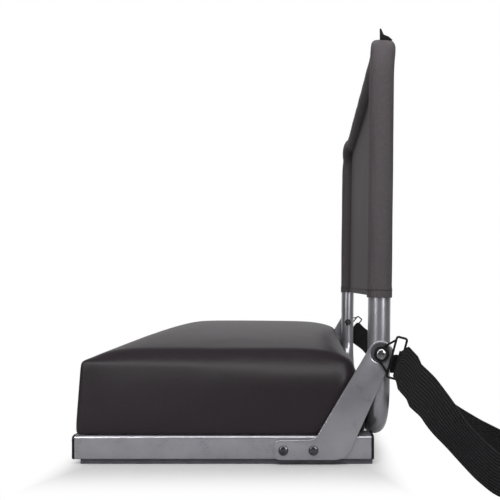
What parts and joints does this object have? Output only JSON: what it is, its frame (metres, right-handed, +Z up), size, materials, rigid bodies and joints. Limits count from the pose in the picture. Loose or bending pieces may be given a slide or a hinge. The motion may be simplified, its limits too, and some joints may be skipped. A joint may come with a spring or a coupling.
{
  "type": "stadium chair",
  "caption": "Folding stadium seat with a padded cushion on tube rails, a fabric-covered tube back hinged on side plates, and a webbing carry strap",
  "frame": {"origin": "On the floor, in the middle of the width and of the depth of the chair without its carry strap", "axes": "+Z up; the chair faces -Y and its back is at +Y; its right-hand side, seen from behind the seat, is at +X"},
  "size_m": [0.5805, 0.4325, 0.4314],
  "materials": {
    "silver_paint": "silver powder coat, satin",
    "dark_zinc": "dark zinc plate",
    "black_wire": "black coated wire",
    "black_plastic": "moulded black plastic, matt",
    "foot_rubber": "dark rubber, matt",
    "seat_cloth": "black woven polyester",
    "back_cloth": "dark grey woven polyester",
    "webbing": "black ribbed webbing",
    "foam": "cut polyurethane foam",
    "plywood": "bare plywood"
  },
  "bodies": {
    "base": {"base_rail_left": "silver_paint", "base_rail_right": "silver_paint", "carry_strap": "webbing", "foot_strip_left": "foot_rubber", "foot_strip_right": "foot_rubber", "pivot_bolt_left": "dark_zinc", "pivot_bolt_right": "dark_zinc", "pivot_nut_left": "dark_zinc", "pivot_nut_right": "dark_zinc", "pivot_washer_left": "dark_zinc", "pivot_washer_right": "dark_zinc", "rail_cap_front_left": "black_plastic", "rail_cap_front_right": "black_plastic", "rail_cap_rear_left": "black_plastic", "rail_cap_rear_right": "black_plastic", "rivet_front_left": "dark_zinc", "rivet_front_right": "dark_zinc", "rivet_rear_left": "dark_zinc", "rivet_rear_right": "dark_zinc", "seat_board": "plywood", "seat_cover": "seat_cloth", "seat_foam": "foam", "seat_screw_front_left": "dark_zinc", "seat_screw_front_right": "dark_zinc", "seat_screw_rear_left": "dark_zinc", "seat_screw_rear_right": "dark_zinc", "side_plate_left": "silver_paint", "side_plate_right": "silver_paint"},
    "back": {"back_frame": "silver_paint", "stop_bar": "silver_paint", "back_cover": "back_cloth"},
    "ring_right": {"strap_ring_right": "black_wire", "strap_end_right": "webbing"},
    "ring_left": {"strap_ring_left": "black_wire", "strap_end_left": "webbing"}
  },
  "joints": [
    {"name": "back_fold", "type": "hinge", "parent": "base", "child": "back", "pos_m": [0, 0.1335, 0.1076], "axis": [1, 0, 0], "range_deg": [0, 83]},
    {"name": "ring_swing_right", "type": "hinge", "parent": "base", "child": "ring_right", "pos_m": [0.2164, 0.1335, 0.1076], "axis": [1, 0, 0], "range_deg": [-20, 105]},
    {"name": "ring_swing_left", "type": "hinge", "parent": "base", "child": "ring_left", "pos_m": [-0.2164, 0.1335, 0.1076], "axis": [1, 0, 0], "range_deg": [-1, 129]}
  ]
}
